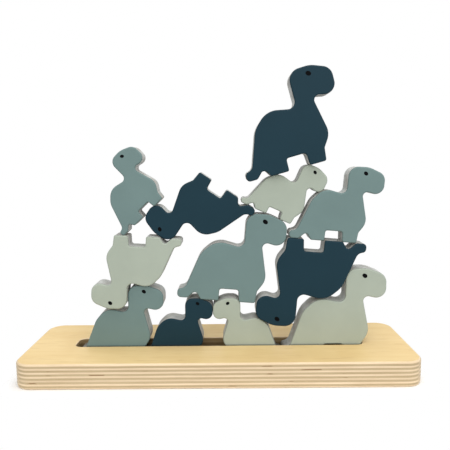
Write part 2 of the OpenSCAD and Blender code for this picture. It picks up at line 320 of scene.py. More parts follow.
    def bump(self, shader: bpy.types.Node, height: Socket, strength: float, depth: float) -> None:
        """Feeds a height into a shader's normal.

        Args:
            shader: The Principled BSDF.
            height: The height, from 0 to 1.
            strength: Strength of the bump.
            depth: Depth in metres that a height of 1 stands for.
        """
        node = self.add("ShaderNodeBump")
        self.feed(node.inputs["Strength"], strength)
        self.feed(node.inputs["Distance"], depth)
        self.feed(node.inputs["Height"], height)
        self.feed(shader.inputs["Normal"], node.outputs["Normal"])

    def end(self, kind: str, shader: Socket) -> None:
        """Feeds a shader into a new output node of the kind that the tree needs."""
        self.feed(self.add(kind).inputs["Surface"], shader)


class GroupWriter(NodeWriter):
    """Writes a node group that takes a position and some numbers, and puts out masks and values."""

    def __init__(self, name: str, outputs: tuple[str, ...], **numbers: float) -> None:
        """Makes the group and its named sockets.

        Args:
            name: The group's name.
            outputs: Names of what it puts out.
            **numbers: Default of each number that it takes, named with spaces as underscores.
        """
        super().__init__(bpy.data.node_groups.new(name, "ShaderNodeTree"))
        sockets = self.tree.interface
        sockets.new_socket("Vector", in_out="INPUT", socket_type="NodeSocketVector")
        for label, default in numbers.items():
            plain = label.replace("_", " ")
            socket = sockets.new_socket(plain, in_out="INPUT", socket_type="NodeSocketFloat")
            socket.default_value = default
        for label in outputs:
            sockets.new_socket(label, in_out="OUTPUT", socket_type="NodeSocketFloat")
        self.given = self.add("NodeGroupInput")

    def take(self, label: str) -> Socket:
        """Finds what the group is given under a name."""
        return self.given.outputs[label]

    def put_out(self, **values: Socket) -> bpy.types.NodeTree:
        """Ends the group.

        Args:
            **values: What it puts out under each name.

        Returns:
            The finished group.
        """
        result = self.add("NodeGroupOutput")
        for label, value in values.items():
            self.feed(result.inputs[label], value)
        return self.tree


class Workshop:
    """The node groups that the finishes share, each built once."""

    def __init__(self) -> None:
        """Builds the groups."""
        self.birch_figure = self._birch_figure()
        self.veneer_stack = self._veneer_stack()
        self.sprayed_film = self._sprayed_film()
        self.paint_line = self._paint_line()

    @staticmethod
    def _birch_figure() -> bpy.types.NodeTree:
        """Builds long, faint growth lines and short darker flecks that run along X.

        Returns:
            The group, which puts out Figure, Flecks and Height.
        """
        bend, line_share, fleck_depth = 12 * MM, 0.65, 0.6
        w = GroupWriter("birch_figure", ("Figure", "Flecks", "Height"), Line_Scale=60.0, Fleck_Scale=900.0)
        place = w.take("Vector")
        drift = w.noise(place, 9.0, detail=3.0, stretch=(1.0, 3.0, 3.0))
        shift = w.add("ShaderNodeCombineXYZ")
        w.feed(shift.inputs["Y"], w.times(drift, bend))
        bent = w.add("ShaderNodeVectorMath", operation="ADD")
        w.feed(bent.inputs[0], w.stretched(place, (0.07, 1.0, 1.0)))
        w.feed(bent.inputs[1], shift.outputs[0])
        lines = w.noise(bent.outputs[0], w.take("Line Scale"), detail=5.0, rough=0.62)
        broad = w.noise(place, 22.0, stretch=(0.35, 1.0, 1.0))
        figure = w.plus(w.times(lines, line_share), w.times(broad, 1 - line_share))
        specks = w.noise(place, w.take("Fleck Scale"), detail=1.0, rough=0.4, stretch=(0.09, 1.0, 1.0))
        flecks = w.rise(specks, 0.60, 0.74)
        height = w.minus(lines, w.times(flecks, fleck_depth))
        return w.put_out(Figure=w.rise(figure, 0.3, 0.7, smooth=False), Flecks=flecks, Height=height)

    @staticmethod
    def _veneer_stack() -> bpy.types.NodeTree:
        """Builds the layers of plywood along Z, with their glue lines and open knots.

        Returns:
            The group, which puts out Cross, Tone, Glue and Knots.
        """
        thin_glue = 0.35
        outputs = ("Cross", "Tone", "Glue", "Knots")
        w = GroupWriter("veneer_stack", outputs, Ply=1.4 * MM, Waviness=0.1 * MM, Glue_Width=0.06)
        place = w.take("Vector")
        _, _, z = w.axes(place)
        sway = w.minus(w.noise(place, 24.0, detail=3.0, stretch=(1.0, 1.0, 14.0)), 0.5)
        height = w.plus(z, w.times(sway, w.take("Waviness")))
        layer = w.math("DIVIDE", height, w.take("Ply"))
        within = w.math("FRACT", layer)
        number = w.math("FLOOR", layer)
        odd = w.unsigned(w.math("MODULO", number, 2.0))
        begun = w.rise(within, 0.0, 0.10)
        cross = w.plus(w.times(odd, begun), w.times(w.inverse(odd), w.inverse(begun)))
        shade = w.add("ShaderNodeTexWhiteNoise", noise_dimensions="1D")
        w.feed(shade.inputs["W"], number)
        middle = w.unsigned(w.minus(within, 0.5))
        line = w.rise(middle, w.minus(0.5, w.take("Glue Width")), 0.5)
        broken = w.rise(w.noise(place, 120.0, stretch=(1.0, 1.0, 40.0)), 0.35, 0.65)
        glue = w.times(line, w.plus(thin_glue, w.times(broken, 1 - thin_glue)))
        spots = w.rise(w.noise(place, 62.0, rough=0.4, stretch=(1.0, 1.0, 7.0)), 0.66, 0.72)
        knots = w.times(w.times(spots, w.fall(middle, 0.12, 0.3)), cross)
        return w.put_out(Cross=cross, Tone=shade.outputs["Value"], Glue=glue, Knots=knots)

    @staticmethod
    def _sprayed_film() -> bpy.types.NodeTree:
        """Builds the faint mottling and orange peel of a sprayed coat.

        Returns:
            The group, which puts out Tone and Height.
        """
        w = GroupWriter("sprayed_film", ("Tone", "Height"), Mottle_Scale=40.0, Peel_Scale=900.0)
        mottle = w.noise(w.take("Vector"), w.take("Mottle Scale"), detail=4.0, rough=0.55)
        peel = w.noise(w.take("Vector"), w.take("Peel Scale"))
        return w.put_out(Tone=w.rise(mottle, 0.3, 0.7, smooth=False), Height=peel)

    @staticmethod
    def _paint_line() -> bpy.types.NodeTree:
        """Builds the border where face paint ends on a rounded edge, measured from the middle plane.

        Returns:
            The group, which puts out Face and Rim. Rim masks the band along the rounded edge
            that the face paint darkens as painted shade.
        """
        widths = {"Half": 7 * MM, "Softness": 0.1 * MM, "Wander": 0.2 * MM, "Rim_Width": 0.6 * MM}
        w = GroupWriter("paint_line", ("Face", "Rim"), **widths)
        half = w.take("Half")
        _, y, _ = w.axes(w.take("Vector"))
        sway = w.minus(w.noise(w.take("Vector"), 70.0, detail=3.0), 0.5)
        away = w.plus(w.unsigned(y), w.times(sway, w.take("Wander")))
        face = w.rise(away, half, w.plus(half, w.take("Softness")))
        # Rim masks the band along the rounded edge where the face paint gets painted shade.
        rim = w.times(face, w.fall(away, half, w.plus(half, w.take("Rim Width"))))
        return w.put_out(Face=face, Rim=rim)


def fresh(owner: Union[bpy.types.Material, bpy.types.World]) -> NodeWriter:
    """Empties the node tree of a material or a world.

    Args:
        owner: The material or world.

    Returns:
        The writer of its tree.
    """
    owner.use_nodes = True
    owner.node_tree.nodes.clear()
    return NodeWriter(owner.node_tree)


def principled(name: str, specular: float) -> tuple[bpy.types.Material, NodeWriter, bpy.types.Node]:
    """Begins a material with one Principled BSDF.

    Args:
        name: The material's name.
        specular: Its specular level.

    Returns:
        The material, its writer and the shader's node.
    """
    material = bpy.data.materials.new(name)
    writer = fresh(material)
    shader = writer.add("ShaderNodeBsdfPrincipled")
    writer.feed(shader.inputs["Specular IOR Level"], specular)
    writer.end("ShaderNodeOutputMaterial", shader.outputs["BSDF"])
    return material, writer, shader


@dataclass(frozen=True)
class PaintFinish:
    """Satin paint of one colour on both faces, over the pale grey undercoat that the sides keep.

    The face paint ends at half from the middle plane. Low down, slot_shade is painted shade: it darkens the
    sides over the heights of sunk_shade, where they stand in the slot, and the faces over the heights of
    lip_shade, as a painted contact shadow along the board's top.
    """

    name: str
    face: Colour
    side: Colour = srgb(190, 191, 187)
    thin: Colour = srgb(148, 142, 131)
    mist: Colour = srgb(214, 216, 214)
    # Painted shade for the parts that stand low in the slot and along the board's top.
    slot_shade: Colour = srgb(62, 58, 42)
    specular: float = 0.13
    rough: float = 0.42
    film_rough: float = 0.08
    side_rough: float = 0.12
    grain_height: float = 0.5
    half: float = 6.75 * MM
    wander: float = 0.2 * MM
    # Width of the band along the rounded edge that takes painted shade.
    rim_width: float = 0.95 * MM
    # Heights over which painted shade darkens the sides in the slot.
    sunk_shade: Pair = (13 * MM, 20 * MM)
    # Heights over which a painted contact shadow darkens the faces at the board's top.
    lip_shade: Pair = (17.5 * MM, 18.9 * MM)

    def material(self, shop: Workshop) -> bpy.types.Material:
        """Builds the material.

        Args:
            shop: The shared node groups.

        Returns:
            The material.
        """
        material, w, shader = principled(self.name, self.specular)
        place = w.place()
        own = w.add("ShaderNodeAttribute", attribute_name=OWN_PLACE).outputs["Vector"]
        film = w.group(shop.sprayed_film, Vector=place, Mottle_Scale=38.0, Peel_Scale=1300.0).outputs
        grain = w.group(shop.birch_figure, Vector=own, Line_Scale=150.0, Fleck_Scale=900.0).outputs
        widths = {"Half": self.half, "Wander": self.wander, "Rim_Width": self.rim_width}
        line = w.group(shop.paint_line, Vector=own, **widths).outputs
        coat = self._coat(w, place, film["Tone"], line["Rim"])
        side = self._side(w, place, grain["Flecks"])
        w.feed(shader.inputs["Base Color"], w.mix(line["Face"], side, coat))
        rough = w.plus(self.rough, w.times(film["Tone"], self.film_rough))
        dull = w.times(w.inverse(line["Face"]), self.side_rough)
        w.feed(shader.inputs["Roughness"], w.plus(rough, dull))
        height = w.plus(film["Height"], w.times(grain["Height"], self.grain_height))
        w.bump(shader, height, strength=0.22, depth=0.05 * MM)
        return material

    def _coat(self, w: NodeWriter, place: Socket, tone: Socket, rim: Socket) -> Socket:
        """Builds the face paint, with painted shade along its edge and a painted shadow at the board's top.

        Args:
            w: Writer of the material's tree.
            place: Position on the object.
            tone: Mottling of the sprayed film.
            rim: Mask of the band along the rounded edge that takes painted shade.

        Returns:
            The face paint's colour.
        """
        _, _, z = w.axes(place)
        coat = w.mix(tone, scaled(self.face, by=0.955), scaled(self.face, by=1.04))
        # Painted shade: the face paint is darkened along its rounded edge.
        coat = w.over(coat, scaled(self.face, by=0.55), mask=rim, share=0.85)
        # Painted contact shadow: the faces are darkened just above the board's top.
        return w.over(coat, self.slot_shade, mask=w.fall(z, *self.lip_shade), share=0.55)

    def _side(self, w: NodeWriter, place: Socket, flecks: Socket) -> Socket:
        """Builds the undercoat, thin in some places and misted or smudged by the face paint in others.

        Args:
            w: Writer of the material's tree.
            place: Position on the object.
            flecks: Mask of the wood's flecks.

        Returns:
            The undercoat's colour.
        """
        _, _, z = w.axes(place)
        patch = w.noise(place, 150.0, stretch=(1.0, 0.7, 1.0))
        smudge = w.noise(place, 66.0, detail=3.0, rough=0.6, stretch=(1.0, 0.8, 1.0))
        mist = blended(self.mist, self.face, share=0.15)
        side = w.over(self.side, self.thin, mask=flecks, share=0.35)
        side = w.over(side, self.thin, mask=w.rise(patch, 0.46, 0.72), share=0.5)
        side = w.over(side, mist, mask=w.fall(patch, 0.30, 0.52), share=0.5)
        side = w.over(side, self.face, mask=w.rise(smudge, 0.50, 0.62), share=0.25)
        # Painted shade: the sides darken towards the bottom of the slot.
        return w.over(side, self.slot_shade, mask=w.fall(z, *self.sunk_shade), share=0.85)


@dataclass(frozen=True)
class EyeInk:
    """Black printed ink."""

    name: str = "eye_ink"
    ink: Colour = srgb(4, 4, 5)
    worn: float = 1.7
    specular: float = 0.05
    rough: float = 0.44
    film_rough: float = 0.12

    def material(self, shop: Workshop) -> bpy.types.Material:
        """Builds the material.

        Args:
            shop: The shared node groups.

        Returns:
            The material.
        """
        material, w, shader = principled(self.name, self.specular)
        film = w.group(shop.sprayed_film, Vector=w.place(), Mottle_Scale=500.0, Peel_Scale=4000.0).outputs
        w.feed(shader.inputs["Base Color"], w.mix(film["Tone"], self.ink, scaled(self.ink, self.worn)))
        w.feed(shader.inputs["Roughness"], w.plus(self.rough, w.times(film["Tone"], self.film_rough)))
        w.bump(shader, film["Height"], strength=0.25, depth=0.02 * MM)
        return material


@dataclass(frozen=True)
class BirchPly:
    """Lacquered birch plywood: a pale face veneer, striped edges and a darker slot, painted shade deep down.

    A ply is drawn thicker by ply_spare, so that the top face stays inside the last one. The slot's mask
    fades over slot_blur round it, over the heights of over_table, and over those of under_top below the top.
    """

    name: str = "birch_ply"
    thick: float = 18 * MM
    plies: int = 13
    ply_spare: float = 1.0001
    waviness: float = 0.22 * MM
    glue_width: float = 0.10
    slot_length: float = 212.944 * MM
    slot_width: float = 17.5 * MM
    slot_depth: float = 9 * MM
    slot_blur: float = 0.9 * MM
    over_table: Pair = (1.0 * MM, 2.0 * MM)
    under_top: Pair = (0.9 * MM, 0.1 * MM)
    slot_dark_share: float = 0.68
    specular: float = 0.4
    rough: float = 0.44
    figure_rough: float = 0.12
    face: Colour = srgb(235, 208, 152)
    face_line: Colour = srgb(217, 184, 124)
    face_fleck: Colour = srgb(196, 160, 104)
    long_grain: Colour = srgb(243, 222, 187)
    long_streak: Colour = srgb(219, 189, 142)
    end_grain: Colour = srgb(207, 186, 147)
    end_pore: Colour = srgb(178, 152, 112)
    dark_ply: Colour = (0.91, 0.90, 0.89)
    light_ply: Colour = (1.04, 1.04, 1.06)
    dark_patch: Colour = (0.93, 0.91, 0.89)
    light_patch: Colour = (1.03, 1.03, 1.04)
    glue: Colour = srgb(150, 120, 82)
    knot: Colour = srgb(146, 112, 74)
    slot_dark: Colour = srgb(126, 98, 48)
    # Painted shade, laid over the slot more strongly the deeper it goes.
    deep: Colour = srgb(54, 44, 22)

    def material(self, shop: Workshop) -> bpy.types.Material:
        """Builds the material.

        Args:
            shop: The shared node groups.

        Returns:
            The material.
        """
        material, w, shader = principled(self.name, self.specular)
        place = w.place()
        normal = w.add("ShaderNodeNewGeometry").outputs["Normal"]
        _, _, up = w.axes(normal)
        flat = w.rise(w.unsigned(up), 0.93, 0.985)
        grain = w.group(shop.birch_figure, Vector=place, Line_Scale=130.0, Fleck_Scale=700.0).outputs
        colour = w.mix(flat, self._edge(w, shop, place, normal), self._top(w, place, grain))
        colour = w.mix(self._in_slot(w, place), colour, self._cut(w, place, colour))
        w.feed(shader.inputs["Base Color"], colour)
        w.feed(shader.inputs["Roughness"], w.plus(self.rough, w.times(grain["Figure"], self.figure_rough)))
        w.bump(shader, grain["Height"], strength=0.3, depth=0.06 * MM)
        return material

    def _top(self, w: NodeWriter, place: Socket, grain: bpy.types.NodeOutputs) -> Socket:
        """Builds the face veneer.

        Args:
            w: Writer of the material's tree.
            place: Position on the board.
            grain: What the birch figure puts out.

        Returns:
            The face veneer's colour.
        """
        clouds = w.rise(w.noise(place, 34.0, stretch=(1.0, 0.6, 1.0)), 0.42, 0.68)
        top = w.over(self.face, self.face_line, mask=grain["Figure"], share=0.55)
        top = w.over(top, self.face_line, mask=clouds, share=0.35)
        return w.over(top, self.face_fleck, mask=grain["Flecks"], share=0.30)

    def _edge(self, w: NodeWriter, shop: Workshop, place: Socket, normal: Socket) -> Socket:
        """Builds the striped edge, whose veneers swap tone between the long sides and the ends.

        Args:
            w: Writer of the material's tree.
            shop: The shared node groups.
            place: Position on the board.
            normal: Normal of the surface.

        Returns:
            The edge's colour.
        """
        ply = self.thick / self.plies * self.ply_spare
        widths = {"Ply": ply, "Waviness": self.waviness, "Glue_Width": self.glue_width}
        stack = w.group(shop.veneer_stack, Vector=place, **widths).outputs
        along, _, _ = w.axes(normal)
        end = w.rise(w.unsigned(along), 0.55, 0.85)
        swapped = w.unsigned(w.minus(end, stack["Cross"]))
        streaks = w.noise(place, 1500.0, detail=3.0, stretch=(0.10, 0.10, 1.0))
        pores = w.noise(place, 1500.0, stretch=(1.0, 1.0, 0.5))
        patches = w.noise(place, 90.0, stretch=(0.25, 0.25, 6.0))
        long_grain = w.over(self.long_grain, self.long_streak, mask=streaks, share=0.45)
        end_grain = w.over(self.end_grain, self.end_pore, mask=pores, share=0.55)
        colour = w.mix(swapped, long_grain, end_grain)
        tone = w.mix(stack["Tone"], self.dark_ply, self.light_ply)
        colour = w.mix(1.0, colour, tone, blend="MULTIPLY")
        shade = w.mix(w.rise(patches, 0.35, 0.65), self.dark_patch, self.light_patch)
        colour = w.mix(1.0, colour, shade, blend="MULTIPLY")
        colour = w.over(colour, self.glue, mask=stack["Glue"], share=0.42)
        return w.mix(stack["Knots"], colour, self.knot)

    def _in_slot(self, w: NodeWriter, place: Socket) -> Socket:
        """Masks the walls and floor of the slot.

        Args:
            w: Writer of the material's tree.
            place: Position on the board.

        Returns:
            A mask that is 1 in the slot.
        """
        x, y, z = w.axes(place)
        half_length, half_width = self.slot_length / 2, self.slot_width / 2
        in_x = w.fall(w.unsigned(x), half_length, half_length + self.slot_blur)
        in_y = w.fall(w.unsigned(y), half_width, half_width + self.slot_blur)
        above = w.rise(z, *self.over_table)
        deep, shallow = self.under_top
        below = w.fall(z, self.thick - deep, self.thick - shallow)
        return w.times(w.times(in_x, in_y), w.times(above, below))

    def _cut(self, w: NodeWriter, place: Socket, colour: Socket) -> Socket:
        """Darkens a colour in the slot, and more so with its depth as painted shade.

        Args:
            w: Writer of the material's tree.
            place: Position on the board.
            colour: The plain colour.

        Returns:
            The darker colour.
        """
        _, _, z = w.axes(place)
        depth = w.fall(z, self.thick - self.slot_depth, self.thick)
        # The slot's walls and floor are a darker brown.
        cut = w.mix(self.slot_dark_share, colour, self.slot_dark)
        # Painted shade: the slot darkens towards its floor.
        return w.over(cut, self.deep, mask=depth, share=0.8)


@dataclass(frozen=True)
class DinosaurSize:
    """Sizes of one of the three dinosaurs in millimetres, as the solids have them.

    An outer corner is rounder than face_edge by spare at least. A facet cuts into its arc by chord at most,
    and turns by bend degrees at most.
    """

    foot: float
    gap: float
    hind: float
    tail: float
    leg: float
    back: float
    tall: float
    neck: float
    nose: float
    jaw: float
    face_edge: float = 1.1
    spare: float = 0.2
    chord: float = 0.006
    bend: float = 7.0

    def corners(self) -> list[Triple]:
        """Lays out the outline's corners.

        Returns:
            Each corner's x, z and radius, clockwise from the tip of the tail.
        """
        foot, gap, hind, tail, leg = self.foot, self.gap, self.hind, self.tail, self.leg
        back, tall, neck, nose, jaw = self.back, self.tall, self.neck, self.nose, self.jaw
        heel = -foot - gap - hind
        tip = heel - tail
        head = tall - jaw
        skull = neck + nose
        return [
            (tip, 0.05 * leg, 0.31 * leg),
            (tip, 0.74 * leg, 0.32 * leg),
            (tip + 0.32 * tail, 0.88 * leg, 0.8 * leg),
            (heel - 0.19 * hind, 0.78 * back, 0.42 * back),
            (heel + 0.65 * hind, 1.02 * back, 0.33 * back),
            (-neck, 0.92 * back, 0.11 * back),
            (-neck, tall + 0.01 * head, 0.5 * head),
            (0.54 * skull - neck, tall + 0.03 * head, 0.8 * head),
            (nose, tall - 0.22 * head, 0.36 * head),
            (nose, jaw - 0.06 * head, 0.34 * head),
            (0.41 * skull - neck, jaw + 0.12 * head, 0.16 * head),
            (0.58 * foot, 0.41 * back, 0.28 * back),
            (0.08 * foot, leg, 0.35 * leg),
            (0.0, 0.0, 0.18 * leg),
            (-foot, 0.0, 0.14 * leg),
            (-foot - 0.05 * gap, leg, 0.24 * leg),
            (-foot - 0.985 * gap, leg, 0.2 * leg),
            (-foot - gap, 0.0, 0.14 * leg),
            (heel, 0.0, 0.2 * leg),
            (heel - 0.23 * tail, 0.7 * leg, 0.27 * leg),
            (heel - 0.56 * tail, 0.05 * leg, 0.35 * leg),
        ]

    def outline(self, inset: float = 0.0) -> tuple[np.ndarray, np.ndarray]:
        """Rounds the corners and moves the outline inwards.

        Args:
            inset: How far the outline is moved into the shape.

        Returns:
            The points in millimetres, clockwise, and the outward normal at each.
        """
        corners = self.corners()
        points: list[np.ndarray] = []
        normals: list[np.ndarray] = []
        for i, corner in enumerate(corners):
            arc, outward = self._arc(corners[i - 1], corner, corners[(i + 1) % len(corners)], inset)
            points.extend(arc)
            normals.extend(outward)
        return np.array(points), np.array(normals)

    def _arc(self, before: Triple, corner: Triple, after: Triple, inset: float) -> tuple[list, list]:
        """Rounds one corner with an arc that its two sides have room for.

        Args:
            before: The corner before it.
            corner: The corner.
            after: The corner after it.
            inset: How far the arc is moved into the shape.

        Returns:
            The arc's points and their outward normals.
        """
        here = np.array(corner[:2])
        to_a, to_b = np.array(before[:2]) - here, np.array(after[:2]) - here
        u, w = to_a / np.linalg.norm(to_a), to_b / np.linalg.norm(to_b)
        half = math.acos(float(u @ w)) / 2
        out = 1 if u[0] * w[1] - u[1] * w[0] > 0 else -1
        wanted = max(corner[2], self.face_edge + self.spare) if out > 0 else corner[2]
        room = min(np.linalg.norm(to_a), np.linalg.norm(to_b)) / 2
        reach = min(wanted / math.tan(half), room)
        radius = reach * math.tan(half)
        middle = here + (u + w) / np.linalg.norm(u + w) * radius / math.sin(half)
        start = here + u * reach - middle
        first = math.atan2(start[1], start[0])
        sweep = -out * (math.pi - 2 * half)
        step = min(2 * math.acos(1 - self.chord / max(radius, 2 * self.chord)), math.radians(self.bend))
        steps = max(1, math.ceil(abs(sweep) / step))
        points, normals = [], []
        for k in range(steps + 1):
            a = first + sweep * k / steps
            ray = np.array((math.cos(a), math.sin(a)))
            points.append(middle + (radius - out * inset) * ray)
            normals.append(out * ray)
        return points, normals

    def eye(self) -> Triple:
        """Gives the x and z of the eye's middle, and the eye's length."""
        skull, head = self.neck + self.nose, self.tall - self.jaw
        return 0.46 * skull - self.neck, self.tall - 0.22 * head, 0.185 * head


class Size(Enum):
    """The three sizes of dinosaur."""

    LARGE = DinosaurSize(
        foot=11.8, gap=14.9, hind=13.1, tail=17.2, leg=9.0,
        back=43.3, tall=65.1, neck=11.0, nose=18.6, jaw=43.2,
    )
    MEDIUM = DinosaurSize(
        foot=10.1, gap=12.8, hind=9.8, tail=15.7, leg=7.6,
        back=36.8, tall=54.0, neck=10.5, nose=15.5, jaw=35.6,
    )
    SMALL = DinosaurSize(
        foot=8.5, gap=10.6, hind=8.7, tail=11.6, leg=5.4,
        back=29.6, tall=44.1, neck=8.7, nose=11.5, jaw=28.2,
    )


@dataclass(frozen=True)
class Rest:
    """Where a flat piece lies: its centre of gravity and the turn of its longest direction."""

    x: float
    y: float
    z: float
    turn: float


def rest_of(vertices: np.ndarray, triangles: np.ndarray) -> Rest:
    """Measures how a closed mesh lies in the XZ plane.

    Args:
        vertices: The mesh's vertices.
        triangles: Its triangles.

    Returns:
        Its centre of gravity and the turn of its longest direction.
    """
    a, b, c = (vertices[triangles[:, k]] for k in range(3))
    volumes = np.einsum("ij,ij->i", a, np.cross(b, c)) / 6
    whole = volumes.sum()
    centre = ((a + b + c) / 4 * volumes[:, None]).sum(0) / whole
    a, b, c = a - centre, b - centre, c - centre
    volumes = np.einsum("ij,ij->i", a, np.cross(b, c)) / 6
    spread = sum(np.einsum("i,ij,ik->jk", volumes, p, p) for p in (a, b, c, a + b + c)) / whole
    turn = math.atan2(2 * spread[0, 2], spread[0, 0] - spread[2, 2]) / 2
    return Rest(float(centre[0]), float(centre[1]), float(centre[2]), turn)


@dataclass
class Dinosaur:
    """One flat painted dinosaur with round edges and a printed eye on both faces.

    Its sizes are in millimetres. The first ring of its side stands at core of the half thickness. Each
    ring of the crowned eye has its share of the eye's size, and its height as a share of the ink's
    thickness.
    """

    node: str
    size: Size
    paint: Paint
    facing: Facing = Facing.RIGHT
    thick: float = 15.5
    core: float = 0.35
    edge_steps: int = 6
    margin: float = 0.12
    ink: float = 0.1
    eye_width: float = 0.78
    eye_slant: float = -35.0
    eye_sides: int = 40
    eye_rings: tuple[Pair, ...] = ((1.0, -0.4), (0.93, 0.6), (0.75, 0.92), (0.4, 1.0))

    def build(self, finish: bpy.types.Material, eye_finish: bpy.types.Material) -> bpy.types.Object:
        """Builds the piece where its solid lies, and lets it stand for the solid.

        Args:
            finish: Material of the faces and sides.
            eye_finish: Material of the eyes.

        Returns:
            The new object.
        """
        points, normals, faces = self._body()
        eye_points, eye_normals, eye_faces = self._eyes()
        all_faces = faces + [[i + len(points) for i in face] for face in eye_faces]
        own = np.vstack([points, eye_points]) * MM
        place = self._place(points, faces)
        turn, shift = np.array(place.to_3x3()), np.array(place.translation)
        mesh = bpy.data.meshes.new(self.node + "_shape")
        mesh.from_pydata([tuple(p) for p in own @ turn.T + shift], [], all_faces)
        mesh.attributes.new(OWN_PLACE, "FLOAT_VECTOR", "POINT").data.foreach_set("vector", own.ravel())
        mesh.materials.append(finish)
        mesh.materials.append(eye_finish)
        mesh.polygons.foreach_set("material_index", [0] * len(faces) + [1] * len(eye_faces))
        mesh.polygons.foreach_set("use_smooth", [True] * len(all_faces))
        mesh.update()
        all_normals = np.vstack([normals, eye_normals]) @ turn.T
        mesh.normals_split_custom_set_from_vertices([tuple(n) for n in all_normals])
        piece = put_in_scene(self.node + "_painted", mesh)
        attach(piece, "root")
        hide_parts(self.node)
        return piece

    def _rings(self) -> list[Triple]:
        """Lists the rings of one half, from near the middle plane out to the flat of the face.

        Returns:
            Each ring's distance from the middle plane, its inset and the lean of its normal in radians.
        """
        half, edge = self.thick / 2, self.size.value.face_edge
        rings = [(half * self.core, 0.0, 0.0)]
        for k in range(self.edge_steps + 1):
            lean = math.pi / 2 * k / self.edge_steps
            rings.append((half - edge * (1 - math.sin(lean)), edge * (1 - math.cos(lean)), lean))
        rings.append((half, edge + self.margin, math.pi / 2))
        return rings

    def _body(self) -> tuple[np.ndarray, np.ndarray, list[list[int]]]:
        """Builds the wooden body round the origin under its front toe.

        Returns:
            Points in millimetres, their normals and the faces.
        """
        half = self._rings()
        rings = [(-y, inset, -lean) for y, inset, lean in reversed(half)] + half
        points, normals = [], []
        for y, inset, lean in rings:
            flat, outward = self.size.value.outline(inset)
            points.append(np.stack([flat[:, 0], np.full(len(flat), y), flat[:, 1]], axis=1))
            across = np.full(len(flat), math.sin(lean))
            level = outward * math.cos(lean)
            normals.append(np.stack([level[:, 0], across, level[:, 1]], axis=1))
        n = len(points[0])
        faces = [list(range(n))]
        for k in range(len(rings) - 1):
            for i in range(n):
                j = (i + 1) % n
                faces.append([k * n + i, (k + 1) * n + i, (k + 1) * n + j, k * n + j])
        last = (len(rings) - 1) * n
        faces.append([last + i for i in reversed(range(n))])
        return np.vstack(points), np.vstack(normals), [face[::-1] for face in faces]

    def _eyes(self) -> tuple[np.ndarray, np.ndarray, list[list[int]]]:
        """Builds a slightly crowned oval on each face, closed underneath.

        Returns:
            Points in millimetres, their normals and the faces.
        """
        x, z, long = self.size.value.eye()
        slant = math.radians(self.eye_slant)
        count = self.eye_sides
        rings = len(self.eye_rings)
        points, normals, faces = [], [], []
        for side in (-1, 1):
            start = len(points)
            for share, lift in self.eye_rings:
                for k in range(count):
                    a = 2 * math.pi * k / count
                    u = long / 2 * share * math.cos(a)
                    v = long / 2 * share * self.eye_width * math.sin(a)
                    px = x + u * math.cos(slant) - v * math.sin(slant)
                    pz = z + u * math.sin(slant) + v * math.cos(slant)
                    points.append((px, side * (self.thick / 2 + self.ink * lift), pz))
                    normals.append((0.0, float(side), 0.0))
            shell = []
            for ring in range(rings - 1):
                for k in range(count):
                    a, b = start + ring * count + k, start + ring * count + (k + 1) % count
                    shell.append([a, b, b + count, a + count])
            underside = range(start, start + count)
            crown = range(start + (rings - 1) * count, start + rings * count)
            shell += [list(reversed(underside)), list(crown)]
            faces += shell if side < 0 else [face[::-1] for face in shell]
        return np.array(points), np.array(normals), faces

    def _place(self, points: np.ndarray, faces: list[list[int]]) -> Matrix:
        """Finds where the solid lies and how the body is turned to lie there too.

        Args:
            points: Points of the body in its own frame, in millimetres.
            faces: Its faces.

        Returns:
            The matrix that carries the body from its own frame to its place.
        """
        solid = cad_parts[self.node].data
        at = np.array([v.co for v in solid.vertices])
        lies = rest_of(at, triangles_of(solid))
        side = self.facing.value
        own_points = points * MM * np.array([side, side, 1.0])
        rough = bpy.data.meshes.new("rough")
        rough.from_pydata([tuple(p) for p in own_points], [], faces)
        own = rest_of(own_points, triangles_of(rough))
        bpy.data.meshes.remove(rough)
        there = np.array([at[:, 0].min(), at[:, 0].max(), at[:, 2].min(), at[:, 2].max()])
        best: Optional[tuple[float, Matrix]] = None
        for tilt in (lies.turn - own.turn, lies.turn - own.turn + math.pi):
            cos, sin = math.cos(tilt), math.sin(tilt)
            dx, dz = lies.x - (own.x * cos - own.z * sin), lies.z - (own.x * sin + own.z * cos)
            x = own_points[:, 0] * cos - own_points[:, 2] * sin + dx
            z = own_points[:, 0] * sin + own_points[:, 2] * cos + dz
            miss = float(np.abs(np.array([x.min(), x.max(), z.min(), z.max()]) - there).max())
            if best is None or miss < best[0]:
                place = Matrix.Translation((dx, lies.y, dz)) @ Matrix.Rotation(-tilt, 4, "Y")
                best = (miss, place @ Matrix.Rotation(math.pi * (side < 0), 4, "Z"))
        LOG.info("%s lies within %.3f mm of its solid", self.node, best[0] / MM)
        return best[1]


